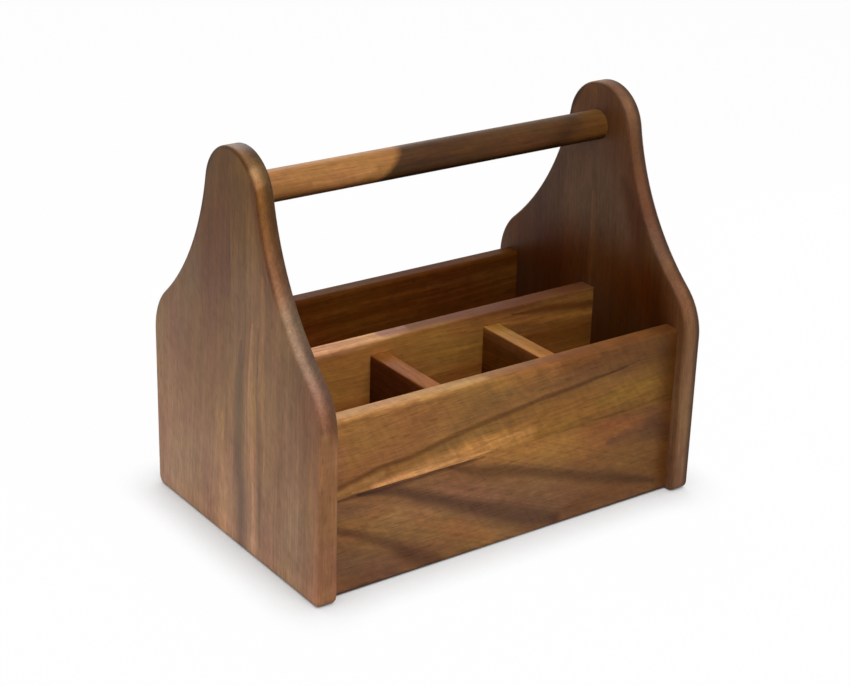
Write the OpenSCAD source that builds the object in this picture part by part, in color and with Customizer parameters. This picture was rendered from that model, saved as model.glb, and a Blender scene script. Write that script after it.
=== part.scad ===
// Wooden cutlery caddy: two shaped end panels, a front and a back panel, a base,
// a long divider, two cross dividers and a round carrying handle.
// Every joint is glued: the ends and the front panel are edge-glued from two staves,
// the boards meet on hidden dowel pins, the base sits in grooves and the handle in
// blind sockets.
// X runs along the handle, -Y is the front, and Z = 0 is the table.

/* [Overall] */
// Length over the outer faces of the two end panels
tray_length = 280; // [220:1:360]
// Depth of the end panels, front edge to back edge
tray_depth = 190; // [160:1:240]
// Height of the end panels
tray_height = 247.5; // [220:0.5:300]

/* [End panels] */
// Thickness of the end panels
end_thickness = 12.5; // [10:0.5:18]
// Radius of the domed top
dome_radius = 29; // [26:0.5:36]
// Radius of the convex shoulder above the straight side
shoulder_radius = 38.5; // [25:0.5:50]
// Height at which the straight side gives way to the shoulder
shoulder_height = 105.5; // [90:0.5:120]
// Radius of the hollow curve between shoulder and dome
waist_radius = 157; // [120:1:220]
// Radius of the bottom corners
foot_radius = 5.5; // [5.5:0.5:15]
// Round-over along every edge of the end panels
edge_round = 2; // [1:0.5:5]
// Glue line between the staves of the left end, measured back from the middle
left_seam = 0; // [-20:0.5:20]
// Glue line between the staves of the right end, measured back from the middle
right_seam = 2; // [-20:0.5:20]

/* [Front and back panels] */
// Thickness of the front and back panels
panel_thickness = 13; // [10:0.5:18]
// Height of the front and back panels
panel_height = 110; // [80:0.5:120]
// Glue line between the staves of the front panel, measured up from its bottom edge
front_seam = 62; // [40:0.5:70]
// Distance of the panels' outer faces from the edges of the ends
panel_setback = 7.5; // [4:0.5:15]
// Clearance under the panels, which hang between the ends
table_gap = 1; // [1:0.5:10]
// Round-over along the top edges of the panels
panel_round = 3; // [1:0.5:4.5]

/* [Dividers] */
// Thickness of the long divider
long_divider_thickness = 12.5; // [9:0.5:15]
// Height of the long divider above the base
long_divider_height = 98; // [70:0.5:110]
// Distance of the long divider's middle from the tray's middle, towards the back
long_divider_offset = 0; // [-20:0.5:20]
// Thickness of the cross dividers
cross_divider_thickness = 12; // [9:0.5:15]
// Height of the cross dividers above the base
cross_divider_height = 89.5; // [60:0.5:95]
// Clear width of the bay at the left end
left_bay = 80; // [50:0.5:90]
// Clear width of the middle bay
middle_bay = 73.5; // [50:0.5:90]
// Round-over along the top edges of the dividers
divider_round = 1; // [0.5:0.5:4]

/* [Base] */
// Thickness of the base
base_thickness = 8; // [5:0.5:12]
// Distance from the bottom edge of the panels up to the base
base_recess = 5; // [3:0.5:10]
// Depth of the grooves that hold the base
groove_depth = 5; // [3:0.5:6]
// Room left for the base to swell, at the bottom of each groove
swell_gap = 0.5; // [0.2:0.1:0.8]

/* [Handle] */
// Diameter of the handle
handle_diameter = 19; // [16:0.5:25]
// Distance from the top of the ends down to the middle of the handle
handle_drop = 27; // [22:0.5:32]
// Depth of the blind sockets that hold the handle
socket_depth = 7; // [5:0.5:8]

/* [Dowel pins] */
// Diameter of the dowel pins
pin_diameter = 6; // [5:0.5:8]
// Depth of a pin hole in the face of a board
face_hole_depth = 8; // [6:0.5:8.5]
// Depth of a pin hole in the end grain of a board
end_hole_depth = 18; // [12:0.5:22]
// Distance of the outermost pins from the top and bottom of their joint
pin_margin = 14; // [10:0.5:18]
// Pins in each joint of a panel or of the long divider with an end
corner_pin_count = 4; // [2:1:4]
// Pins in each joint of a cross divider
cross_pin_count = 2; // [2:1:3]
// Chamfer on both ends of a pin
pin_chamfer = 0.8; // [0.4:0.1:1.2]
// Room for glue at the end of a hole or socket
glue_pocket = 0.6; // [0.3:0.1:1]
// Clearance round a pin, round the handle in its socket, and over the base
fit_gap = 0.1; // [0.05:0.01:0.2]

/* [Smoothness] */
// Steps in each arc of the end panels' outline
arc_steps = 8; // [4:1:12]
// Steps across each round-over
round_steps = 5; // [3:1:8]

/* [Hidden] */
$fn = 64;

// Colours of the boards
end_colour = [0.47, 0.35, 0.24];
panel_colour = [0.55, 0.37, 0.20];
divider_colour = [0.58, 0.40, 0.22];
base_colour = [0.42, 0.28, 0.16];
handle_colour = [0.50, 0.34, 0.18];
pin_colour = [0.80, 0.68, 0.48];

// Largest share of a board's thickness that a round-over may take
round_limit = 0.4;
// How far a cutting block reaches past what it cuts
cut_margin = 1;

// The space between the boards
inner_x = tray_length / 2 - end_thickness;
panel_y = tray_depth / 2 - panel_setback - panel_thickness / 2;
inner_y = panel_y - panel_thickness / 2;
panel_top = table_gap + panel_height;
base_bottom = table_gap + base_recess;
base_top = base_bottom + base_thickness;
long_divider_front = long_divider_offset - long_divider_thickness / 2;
long_divider_top = base_top + long_divider_height;
cross_divider_top = base_top + cross_divider_height;
cross_divider_length = long_divider_front + inner_y;
cross_divider_y = (long_divider_front - inner_y) / 2;
left_cross_x = -inner_x + left_bay + cross_divider_thickness / 2;
right_cross_x = left_cross_x + middle_bay + cross_divider_thickness;
handle_z = tray_height - handle_drop;

// Heights of the pins in a joint that reaches from the base up to a given top
function pin_heights(top, count) =
    let (low = base_top + pin_margin, step = (top - pin_margin - low) / (count - 1))
    [for (i = [0 : count - 1]) low + step * i];

panel_pin_heights = pin_heights(panel_top, corner_pin_count);
long_pin_heights = pin_heights(long_divider_top, corner_pin_count);
cross_pin_heights = pin_heights(cross_divider_top, cross_pin_count);

// Outline of an end panel in Y and Z
edge = min(edge_round, end_thickness * round_limit);
dome = [0, tray_height - dome_radius];
shoulder = [tray_depth / 2 - shoulder_radius, shoulder_height];
foot = [tray_depth / 2 - foot_radius, foot_radius];
// The hollow curve touches the shoulder and the dome, so its centre lies at a known
// distance from both of theirs, on the outer side.
shoulder_to_dome = dome - shoulder;
span = norm(shoulder_to_dome);
along = shoulder_to_dome / span;
outward = [along.y, -along.x];
shoulder_reach = shoulder_radius + waist_radius;
dome_reach = dome_radius + waist_radius;
foot_along = (shoulder_reach ^ 2 - dome_reach ^ 2 + span ^ 2) / (2 * span);
waist = shoulder + along * foot_along + outward * sqrt(shoulder_reach ^ 2 - foot_along ^ 2);
shoulder_end = atan2(waist.y - shoulder.y, waist.x - shoulder.x);
dome_start = atan2(waist.y - dome.y, waist.x - dome.x);

// Points along an arc, from step first to step last
function arc(centre, radius, from, to, first = 0, last = arc_steps) =
    [for (i = [first : last])
        let (angle = from + (to - from) * i / arc_steps)
        centre + radius * [cos(angle), sin(angle)]];

// Right half of the outline from the foot to the top of the dome, drawn inside the edge by inset
function half_outline(inset) = concat(
    arc(foot, foot_radius - inset, -90, 0),
    arc(shoulder, shoulder_radius - inset, 0, shoulder_end),
    arc(waist, waist_radius + inset, shoulder_end + 180, dome_start + 180, 1, arc_steps - 1),
    arc(dome, dome_radius - inset, dome_start, 90));

function outline(inset) =
    let (half = half_outline(inset))
    concat(half, [for (i = [len(half) - 2 : -1 : 0]) [-half[i].x, half[i].y]]);

// Offset from the middle of the thickness, and inset, at each ring of the rounded edge
round_angles = [for (i = [0 : round_steps]) 90 * i / round_steps];
rings = concat(
    [for (a = round_angles) [-end_thickness / 2 + edge - edge * cos(a), edge - edge * sin(a)]],
    [for (i = [round_steps : -1 : 0])
        let (a = round_angles[i])
        [end_thickness / 2 - edge + edge * cos(a), edge - edge * sin(a)]]);
ring_size = len(outline(0));
last_ring = (len(rings) - 1) * ring_size;

// Triangles over one flat face, in strips between points of the same height
function cap(start, flip) =
    [for (i = [0 : (ring_size - 1) / 2 - 1])
        let (a = start + i, b = a + 1, d = start + ring_size - 1 - i, c = d - 1)
        each [if (flip) [b, a, d] else [a, b, d],
              if (b != c) if (flip) [c, b, d] else [b, c, d]]];

// An end panel in one piece, with its middle at X = 0
module end_blank() {
    polyhedron(
        points = [for (ring = rings) each [for (p = outline(ring[1])) [ring[0], p.x, p.y]]],
        faces = concat(
            cap(0, false),
            [for (r = [0 : len(rings) - 2])
                each [for (i = [0 : ring_size - 1])
                    let (a = r * ring_size + i, b = r * ring_size + (i + 1) % ring_size)
                    each [[b, a, b + ring_size], [a, a + ring_size, b + ring_size]]]],
            cap(last_ring, true)));
}

// A hole along X with its mouth at a given X, running away from the middle of the tray
module outward_hole(side, y, z, diameter, depth) {
    translate([side * inner_x, y, z])
        rotate([0, side * 90, 0])
            translate([0, 0, -fit_gap])
                cylinder(d = diameter + 2 * fit_gap, h = depth + fit_gap);
}

// Everything that is cut into the inner face of an end panel
module end_cuts(side) {
    for (y = [-panel_y, panel_y], z = panel_pin_heights)
        outward_hole(side, y, z, pin_diameter, face_hole_depth);
    for (z = long_pin_heights)
        outward_hole(side, long_divider_offset, z, pin_diameter, face_hole_depth);
    outward_hole(side, 0, handle_z, handle_diameter, socket_depth);
    base_groove();
}

// The slot that the base slides into, on all four sides
module base_groove() {
    length = 2 * (inner_x + groove_depth);
    depth = 2 * (inner_y + groove_depth);
    translate([-length / 2, -depth / 2, base_bottom])
        cube([length, depth, base_thickness + fit_gap]);
}

// One stave of an end panel: side -1 is the left end, facing -1 is the front stave
module stave(side, seam, facing) {
    color(end_colour)
        difference() {
            intersection() {
                translate([side * (inner_x + end_thickness / 2), 0, 0])
                    end_blank();
                translate([-tray_length, facing < 0 ? seam - tray_depth : seam, -cut_margin])
                    cube([2 * tray_length, tray_depth, tray_height + 2 * cut_margin]);
            }
            end_cuts(side);
        }
}

// Section of a board on edge, with its two top corners rounded
module board_section(thickness, height, round_over) {
    radius = min(round_over, thickness * round_limit);
    polygon(concat(
        [[-thickness / 2, 0], [thickness / 2, 0]],
        [for (a = round_angles) [thickness / 2 - radius, height - radius] + radius * [cos(a), sin(a)]],
        [for (a = round_angles) [radius - thickness / 2, height - radius] + radius * [-sin(a), cos(a)]]));
}

// A board that runs along X between the ends
module board_along_x(thickness, height, round_over) {
    rotate([90, 0, 90])
        linear_extrude(2 * inner_x, center = true)
            board_section(thickness, height, round_over);
}

// Holes for the pins in both end-grain faces of a board along X
module end_grain_holes(y, heights) {
    for (side = [-1, 1], z = heights)
        translate([side * inner_x, y, z])
            rotate([0, -side * 90, 0])
                translate([0, 0, -fit_gap])
                    cylinder(d = pin_diameter + 2 * fit_gap, h = end_hole_depth + fit_gap);
}

// Holes along Y for the pins of both cross dividers: facing 1 bores towards the back
module cross_holes(y, facing, depth) {
    for (x = [left_cross_x, right_cross_x], z = cross_pin_heights)
        translate([x, y, z])
            rotate([-facing * 90, 0, 0])
                translate([0, 0, -fit_gap])
                    cylinder(d = pin_diameter + 2 * fit_gap, h = depth + fit_gap);
}

// A panel at the front (facing -1) or at the back (facing 1)
module side_panel(facing) {
    difference() {
        translate([0, facing * panel_y, table_gap])
            board_along_x(panel_thickness, panel_height, panel_round);
        base_groove();
        end_grain_holes(facing * panel_y, panel_pin_heights);
        if (facing < 0)
            cross_holes(-inner_y, -1, face_hole_depth);
    }
}

// One stave of the front panel, between two heights above its bottom edge
module front_stave(low, high) {
    color(panel_colour)
        intersection() {
            side_panel(-1);
            translate([-tray_length / 2, -tray_depth / 2, table_gap + low])
                cube([tray_length, tray_depth / 2, high - low]);
        }
}

module back_panel() {
    color(panel_colour) side_panel(1);
}

module base_panel() {
    length = 2 * (inner_x + groove_depth - swell_gap);
    depth = 2 * (inner_y + groove_depth - swell_gap);
    color(base_colour)
        translate([-length / 2, -depth / 2, base_bottom])
            cube([length, depth, base_thickness]);
}

module long_divider() {
    color(divider_colour)
        difference() {
            translate([0, long_divider_offset, base_top])
                board_along_x(long_divider_thickness, long_divider_height, divider_round);
            end_grain_holes(long_divider_offset, long_pin_heights);
            cross_holes(long_divider_front, 1, face_hole_depth);
        }
}

// A divider between the front panel and the long divider
module cross_divider(x) {
    color(divider_colour)
        difference() {
            translate([x, cross_divider_y, base_top])
                rotate([90, 0, 0])
                    linear_extrude(cross_divider_length, center = true)
                        board_section(cross_divider_thickness, cross_divider_height, divider_round);
            cross_holes(-inner_y, 1, end_hole_depth);
            cross_holes(long_divider_front, -1, end_hole_depth);
        }
}

module handle_bar() {
    length = 2 * (inner_x + socket_depth - glue_pocket);
    color(handle_colour)
        translate([-length / 2, 0, handle_z])
            rotate([0, 90, 0])
                cylinder(d = handle_diameter, h = length);
}

// A dowel pin along Z: it reaches into the face hole below Z = 0 and the end-grain hole above
module pin() {
    low = glue_pocket - face_hole_depth;
    high = end_hole_depth - glue_pocket;
    radius = pin_diameter / 2;
    rotate_extrude()
        polygon([[0, low], [radius - pin_chamfer, low], [radius, low + pin_chamfer],
                 [radius, high - pin_chamfer], [radius - pin_chamfer, high], [0, high]]);
}

// The pins between an end panel and a board along X
module end_pins(side, y, heights) {
    color(pin_colour)
        for (z = heights)
            translate([side * inner_x, y, z])
                rotate([0, -side * 90, 0])
                    pin();
}

// The pins at both ends of a cross divider
module cross_pins(x) {
    color(pin_colour)
        for (z = cross_pin_heights) {
            translate([x, -inner_y, z])
                rotate([-90, 0, 0])
                    pin();
            translate([x, long_divider_front, z])
                rotate([90, 0, 0])
                    pin();
        }
}

stave(-1, left_seam, -1);  // left_end_front_stave
stave(-1, left_seam, 1);  // left_end_back_stave
stave(1, right_seam, -1);  // right_end_front_stave
stave(1, right_seam, 1);  // right_end_back_stave
front_stave(0, front_seam);  // front_lower_stave
front_stave(front_seam, panel_height);  // front_upper_stave
back_panel();
base_panel();
long_divider();
cross_divider(left_cross_x);  // left_cross_divider
cross_divider(right_cross_x);  // right_cross_divider
handle_bar();
end_pins(-1, -panel_y, panel_pin_heights);  // front_left_pins
end_pins(1, -panel_y, panel_pin_heights);  // front_right_pins
end_pins(-1, panel_y, panel_pin_heights);  // back_left_pins
end_pins(1, panel_y, panel_pin_heights);  // back_right_pins
end_pins(-1, long_divider_offset, long_pin_heights);  // long_divider_left_pins
end_pins(1, long_divider_offset, long_pin_heights);  // long_divider_right_pins
cross_pins(left_cross_x);  // left_cross_divider_pins
cross_pins(right_cross_x);  // right_cross_divider_pins
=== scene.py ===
"""Wooden cutlery caddy: smooth boards, a wood material for each, soft studio light and the camera."""
import math
from dataclasses import dataclass

import bmesh
import bpy
from mathutils import Matrix, Vector


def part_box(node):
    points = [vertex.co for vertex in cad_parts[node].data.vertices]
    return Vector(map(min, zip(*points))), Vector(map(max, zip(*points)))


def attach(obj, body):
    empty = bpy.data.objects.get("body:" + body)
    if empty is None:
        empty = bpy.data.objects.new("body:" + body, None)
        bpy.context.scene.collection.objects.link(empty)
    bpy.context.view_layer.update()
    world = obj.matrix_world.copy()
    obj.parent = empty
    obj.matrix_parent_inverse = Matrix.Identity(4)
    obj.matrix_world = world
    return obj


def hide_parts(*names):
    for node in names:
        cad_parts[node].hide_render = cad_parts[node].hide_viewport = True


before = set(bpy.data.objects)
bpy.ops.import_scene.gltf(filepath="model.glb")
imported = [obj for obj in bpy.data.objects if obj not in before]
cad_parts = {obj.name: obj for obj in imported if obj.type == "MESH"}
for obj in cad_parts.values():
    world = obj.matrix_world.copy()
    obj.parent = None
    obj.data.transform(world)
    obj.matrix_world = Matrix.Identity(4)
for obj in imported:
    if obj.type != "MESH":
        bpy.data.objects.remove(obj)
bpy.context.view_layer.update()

# Sizes in millimetres, as in the solids
MM = 0.001
DOME_RADIUS = 29
SHOULDER_RADIUS = 38.5
SHOULDER_HEIGHT = 105.5
WAIST_RADIUS = 157
FOOT_RADIUS = 5.5
END_ROUND = 2
PANEL_ROUND = 3
DIVIDER_ROUND = 1
# Easing that the solids leave out: hand-softened arrises and the hairline of a glue joint
ARRIS = 0.6
HAIRLINE = 0.08
ARC_STEPS = 20
ROUND_STEPS = 6
WEAR_RISE = 1.4  # how soon a rounded top edge counts as fully worn
SHARP_DEGREES = 35  # edges that turn by more than this stay sharp
SAW_TOLERANCE = 1e-7  # metres


def box_mm(*nodes):
    """Lowest and highest corner, in millimetres, of one node or of several together."""
    corners = [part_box(n) for n in nodes]
    lo = [min(c[0][i] for c in corners) / MM for i in range(3)]
    hi = [max(c[1][i] for c in corners) / MM for i in range(3)]
    return Vector(lo), Vector(hi)


# Outlines


def arc(centre, radius, start, end, steps):
    """Points along an arc between two angles in degrees."""
    angles = [math.radians(start + (end - start) * i / steps) for i in range(steps + 1)]
    return [(centre[0] + radius * math.cos(a), centre[1] + radius * math.sin(a)) for a in angles]


def end_outline(depth, height, inset):
    """Outline of an end panel in Y and Z, drawn inside its edge by inset."""
    dome = Vector((0, height - DOME_RADIUS))
    shoulder = Vector((depth / 2 - SHOULDER_RADIUS, SHOULDER_HEIGHT))
    foot = (depth / 2 - FOOT_RADIUS, FOOT_RADIUS)
    across = dome - shoulder
    span = across.length
    along = across / span
    outward = Vector((along.y, -along.x))
    shoulder_reach = SHOULDER_RADIUS + WAIST_RADIUS
    dome_reach = DOME_RADIUS + WAIST_RADIUS
    step = (shoulder_reach**2 - dome_reach**2 + span**2) / (2 * span)
    waist = shoulder + along * step + outward * math.sqrt(shoulder_reach**2 - step**2)
    shoulder_end = math.degrees(math.atan2(waist.y - shoulder.y, waist.x - shoulder.x))
    dome_start = math.degrees(math.atan2(waist.y - dome.y, waist.x - dome.x))
    waist_arc = arc(waist, WAIST_RADIUS + inset, shoulder_end + 180, dome_start + 180, ARC_STEPS)
    half = (
        arc(foot, FOOT_RADIUS - inset, -90, 0, ROUND_STEPS)
        + arc(shoulder, SHOULDER_RADIUS - inset, 0, shoulder_end, ARC_STEPS)
        + waist_arc[1:-1]
        + arc(dome, DOME_RADIUS - inset, dome_start, 90, ARC_STEPS)
    )
    return [(y, z, 0.0) for y, z in half] + [(-y, z, 0.0) for y, z in reversed(half[:-1])]


def board_outline(width, height, radii, inset):
    """Rectangle with its corner at 0, 0, drawn inside its edge by inset.

    The radii go round from that corner: the two lower ones, then the two upper ones from the right.
    Each point has its wear too: 0 on the faces, and 1 where a top edge has mostly turned upwards.
    """
    points = []
    for i, radius in enumerate(radii):
        x = radius if i in (0, 3) else width - radius
        y = radius if i in (0, 1) else height - radius
        for px, py in arc((x, y), radius - inset, 180 + 90 * i, 270 + 90 * i, ROUND_STEPS):
            rise = (py - y) / (radius - inset)
            points.append((px, py, min(1.0, max(0.0, WEAR_RISE * rise))))
    return points


def round_rings(length, radius):
    """(distance along, inset, wear, crease) for each ring of a solid whose two ends are rounded over."""
    turns = [90 * i / ROUND_STEPS for i in range(ROUND_STEPS + 1)]
    near = []
    for turn in turns:
        a = math.radians(turn)
        distance = radius - radius * math.cos(a)
        inset = radius - radius * math.sin(a)
        near.append((distance, inset, math.sin(a), math.sin(2 * a)))
    return near + [(length - d, *rest) for d, *rest in reversed(near)]


# Meshes


def loft(outline, rings, place):
    """A closed mesh through one outline per ring, with how worn it is and where its edges turn."""
    bm = bmesh.new()
    wear_layer = bm.verts.layers.float.new("wear")
    crease_layer = bm.verts.layers.float.new("crease")
    loops = []
    for distance, inset, wear, crease in rings:
        loop = []
        for a, b, worn in outline(inset):
            vert = bm.verts.new(Vector(place(distance, a, b)) * MM)
            vert[wear_layer] = max(wear, worn)
            vert[crease_layer] = crease
            loop.append(vert)
        loops.append(loop)
    for low, high in zip(loops, loops[1:]):
        for i in range(len(low)):
            j = (i + 1) % len(low)
            bm.faces.new((low[i], low[j], high[j], high[i]))
    bm.faces.new(reversed(loops[0]))
    bm.faces.new(loops[-1])
    bmesh.ops.recalc_face_normals(bm, faces=bm.faces)
    return bm


def keep_side(bm, at, side):
    """Saws a mesh across Y, keeps one side and closes the cut, with a hairline along it."""
    normal = Vector((0, side, 0))
    point = Vector((0, at, 0)) * MM
    everything = bm.verts[:] + bm.edges[:] + bm.faces[:]
    bmesh.ops.bisect_plane(
        bm, geom=everything, dist=SAW_TOLERANCE, plane_co=point, plane_no=-normal, clear_outer=True
    )
    rim = [e for e in bm.edges if e.is_boundary]
    bmesh.ops.holes_fill(bm, edges=rim)
    rim = [e for e in rim if e.is_valid]
    bmesh.ops.bevel(bm, geom=rim, offset=HAIRLINE * MM, segments=1, affect="EDGES")
    bmesh.ops.recalc_face_normals(bm, faces=bm.faces)


def piece(name, bm, slot, material, *nodes):
    """Turns a mesh into a smooth piece that stands for its nodes."""
    mesh = bpy.data.meshes.new(name)
    bm.to_mesh(mesh)
    bm.free()
    mesh.polygons.foreach_set("use_smooth", [True] * len(mesh.polygons))
    mesh.set_sharp_from_angle(angle=math.radians(SHARP_DEGREES))
    mesh.materials.append(material)
    obj = bpy.data.objects.new(name, mesh)
    bpy.context.scene.collection.objects.link(obj)
    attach(obj, "root")
    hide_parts(*nodes)
    return obj


# Materials


def colour(code):
    """Linear colour from a six-digit sRGB code."""
    values = [int(code[i : i + 2], 16) / 255 for i in (0, 2, 4)]
    return [v / 12.92 if v <= 0.04045 else ((v + 0.055) / 1.055) ** 2.4 for v in values] + [1.0]


TOP_LEVEL = 2.0  # the highest brightness that a figure's stops can name


class Graph:
    """Short calls for wiring up the nodes of a material or of the world."""

    def __init__(self, owner):
        owner.use_nodes = True
        self.tree = owner.node_tree
        self.tree.nodes.clear()

    def node(self, kind, inputs=None, **settings):
        """A new node with some of its inputs fed and its settings made."""
        made = self.tree.nodes.new(kind)
        for key, value in settings.items():
            setattr(made, key, value)
        for key, value in (inputs or {}).items():
            self.feed(made.inputs[key], value)
        return made

    def feed(self, socket, value):
        """Links a socket to another node's output, or sets it to a plain value."""
        if isinstance(value, bpy.types.NodeSocket):
            self.tree.links.new(value, socket)
        else:
            socket.default_value = value

    def math(self, operation, a, b=0.0):
        """One sum on two numbers."""
        return self.node("ShaderNodeMath", {0: a, 1: b}, operation=operation).outputs[0]

    def add(self, *values):
        """All the numbers added up."""
        total = values[0]
        for value in values[1:]:
            total = self.math("ADD", total, value)
        return total

    def product(self, *values):
        """All the numbers multiplied."""
        total = values[0]
        for value in values[1:]:
            total = self.math("MULTIPLY", total, value)
        return total

    def spread(self, value, low, high, out_low=0.0, out_high=1.0):
        """Maps low..high of a value onto out_low..out_high, clamped."""
        inputs = {"Value": value, 1: low, 2: high, 3: out_low, 4: out_high}
        return self.node("ShaderNodeMapRange", inputs).outputs[0]

    def vector(self, x, y, z):
        """Three numbers as a vector."""
        return self.node("ShaderNodeCombineXYZ", {0: x, 1: y, 2: z}).outputs[0]

    def noise(self, x, y, z, detail, roughness):
        """A smooth noise between 0 and 1."""
        inputs = {"Vector": self.vector(x, y, z), "Scale": 1.0, "Detail": detail, "Roughness": roughness}
        return self.node("ShaderNodeTexNoise", inputs).outputs[0]

    def blend(self, value, stops):
        """Colours at given values, blended in between."""
        low, high = stops[0][0], stops[-1][0]
        made = self.node("ShaderNodeValToRGB", {0: self.spread(value, low, high)})
        elements = made.color_ramp.elements
        while len(elements) < len(stops):
            elements.new(0.5)
        for element, (at, _) in zip(elements, stops):
            element.position = (at - low) / (high - low)
        for element, (_, shown) in zip(elements, stops):
            element.color = shown
        return made.outputs[0]

    def ramp(self, value, stops):
        """Colours, given by their codes, at given values."""
        return self.blend(value, [(at, colour(code)) for at, code in stops])

    def levels(self, value, stops):
        """Plain numbers from 0 to TOP_LEVEL at given values, blended in between."""
        greys = [(at, [level / TOP_LEVEL] * 3 + [1.0]) for at, level in stops]
        return self.product(self.blend(value, greys), TOP_LEVEL)

    def vectors(self, operation, a, b):
        """The node for one sum on two vectors."""
        return self.node("ShaderNodeVectorMath", {0: a, 1: b}, operation=operation)

    def minus(self, a, b):
        """Vector from b to a."""
        return self.vectors("SUBTRACT", a, b).outputs[0]

    def dot(self, a, b):
        """Dot product of two vectors."""
        return self.vectors("DOT_PRODUCT", a, b).outputs["Value"]

    def distance(self, a, b):
        """Distance between two points."""
        return self.vectors("DISTANCE", a, b).outputs["Value"]

    def scaled(self, a, factor):
        """A vector or colour times a number."""
        return self.node("ShaderNodeVectorMath", {0: a, "Scale": factor}, operation="SCALE").outputs[0]

    def stroke(self, spot, path):
        """How deep a spot lies in a soft stroke through points (along, across, width): 1 in its middle."""
        nearest = None
        for (x0, y0, wide0), (x1, y1, wide1) in zip(path, path[1:]):
            run = Vector((x1 - x0, y1 - y0, 0))
            here = self.minus(spot, (x0, y0, 0))
            part = self.spread(self.dot(here, tuple(run / run.length_squared)), 0.0, 1.0)
            gap = self.distance(here, self.scaled(tuple(run), part))
            gap = self.math("DIVIDE", gap, self.spread(part, 0.0, 1.0, wide0, wide1))
            nearest = gap if nearest is None else self.math("MINIMUM", nearest, gap)
        inputs = {"Value": nearest, 1: 0.0, 2: 1.0, 3: 1.0, 4: 0.0}
        return self.node("ShaderNodeMapRange", inputs, interpolation_type="SMOOTHERSTEP").outputs[0]

    def tinted(self, share, base, factors):
        """A colour times red, green and blue factors, where the share is 1."""
        inputs = {0: share, 6: base, 7: (*factors, 1.0)}
        return self.node("ShaderNodeMix", inputs, data_type="RGBA", blend_type="MULTIPLY").outputs[2]


@dataclass
class Figure:
    """The wood of one board: where its fibres run and how its growth lines lie. Lengths are in mm."""

    axes: tuple  # row axes along the fibres, across the board's face and through the board
    origin: Vector  # where the figure is measured from
    tones: tuple  # (distance across the growth lines, colour)
    lean: float = 0.0  # climb of the growth lines across the face per mm along it
    bend: float = 0.0  # change of that climb per mm along
    wander: float = 5.0  # how far the growth lines stray
    contrast: float = 1.0  # strength of the bands between the growth lines
    drift: tuple = ()  # (distance along the fibres, brightness): the handle's own tone; on the other boards painted fall-off of the light, toward the right and toward the top
    slant: float = 0.0  # shift of the drift per mm across
    strokes: tuple = ()  # (points along and across the face with a width, colour factors)
    far_side: tuple = (0, 0, 0)  # direction of the face that has strokes and a tint of its own
    far_strokes: tuple = ()  # strokes of that face
    far_tint: tuple = (1.0, 1.0, 1.0)  # colour factors of that face, which lift it clear of the painted shade in the board's tones
    ripple: float = 0.05  # strength of the ripples across the fibres
    edge_up_wear_and_highlight: tuple = (1.25, 1.25, 1.25)  # colour factors of the worn edges that face up: lighter wear and a painted highlight
    rim: tuple = ()  # (distance through the board, painted light and shade on its rounded edge)
    rim_from: tuple = (-20, -10)  # distances along the fibres between which that painted light and shade comes in
    rim_strokes: tuple = ()  # strokes that show only on the worn edges: painted highlights and shade
    crease: tuple = ((0, 1.0), (1, 1.0))  # (distance along the fibres, depth of the painted shade where edges turn)
    outline: tuple = ()  # strokes that keep to the board's outline, used for painted shade along the ends' domes
    under_shade: tuple = (1.0, 1.0, 1.0)  # colour factors of the sides that face down: painted shade
    gloss: float = 0.1  # specular level of the lacquer
    seed: float = 0.0  # shift that sets one board's noises apart from another's


# Axes of a figure for fibres along X, Y or Z in upright boards, and along X in a lying one
ALONG_X = ((1, 0, 0), (0, 0, 1), (0, 1, 0))
ALONG_Y = ((0, 1, 0), (0, 0, 1), (1, 0, 0))
ALONG_Z = ((0, 0, 1), (0, -1, 0), (1, 0, 0))
LYING = ((1, 0, 0), (0, 1, 0), (0, 0, 1))
UP = (0, 0, 1)

# Noises of the wood: waves per millimetre along, across and through, then detail and roughness
STRAY = (0.011, 0.02, 0.02, 2.0, 0.5)
BANDS = (0.005, 0.12, 0.05, 3.0, 0.6)
STREAKS = (0.006, 0.55, 0.3, 2.0, 0.5)
FIBRES = (0.04, 1.3, 1.3, 3.0, 0.65)
PORES = (0.11, 1.9, 1.9, 1.0, 0.5)
RIPPLE = (0.31, 0.09, 0.06, 2.0, 0.6)
MOTTLE = (0.10, 0.24, 0.24, 3.0, 0.62)
CLOUDS = (0.014, 0.03, 0.03, 2.0, 0.5)
NOISE_MEAN = 0.5
# Ranges of a noise that are stretched over its whole effect
INNER = (0.3, 0.7)
OUTER = (0.25, 0.75)
PORE_CORE = (0.6, 0.72)
STROKE_PATCHES = (0.75, 1.15)  # of two noises together
# streaks over which the painted shade in the creases comes in
CREASE_SHADE_STREAKS = (0.3, 0.6)
# Brightness at the two ends of a range, or its change there for a board of contrast 1
BAND_CHANGE = (-0.26, 0.24)
STREAK_CHANGE = (-0.18, 0.12)
FIBRE_SHADES = (0.82, 1.18)
MOTTLE_SHADES = (0.88, 1.12)
CLOUD_SHADES = (0.92, 1.08)
PORE_SHADES = (1.0, 0.7)
CLOUD_HUES = (0.491, 0.507)  # 0.5 leaves the hue as it is
STROKE_STRENGTHS = (0.75, 1.0)
WEAR_STRENGTHS = (0.75, 1.0)
# depth of the painted shade in the creases at the two ends of that range
CREASE_SHADE_STRENGTHS = (0.6, 1.0)
# Cosines of the angle to an axis between which a side begins to face that way
END_GRAIN_TURN = (0.35, 0.95)
FAR_TURN = (0.5, 0.9)
UP_TURN = (0.3, 0.8)
DOWN_TURN = (-0.7, -0.1)
UNDER_TURN = (-0.75, -0.45)
END_GRAIN_SHADE = 0.75  # brightness of sawn end grain
EDGE_DOWN_SHADE = (0.8, 0.76, 0.72)  # colour factors of the worn edges that face down: painted shade
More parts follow.
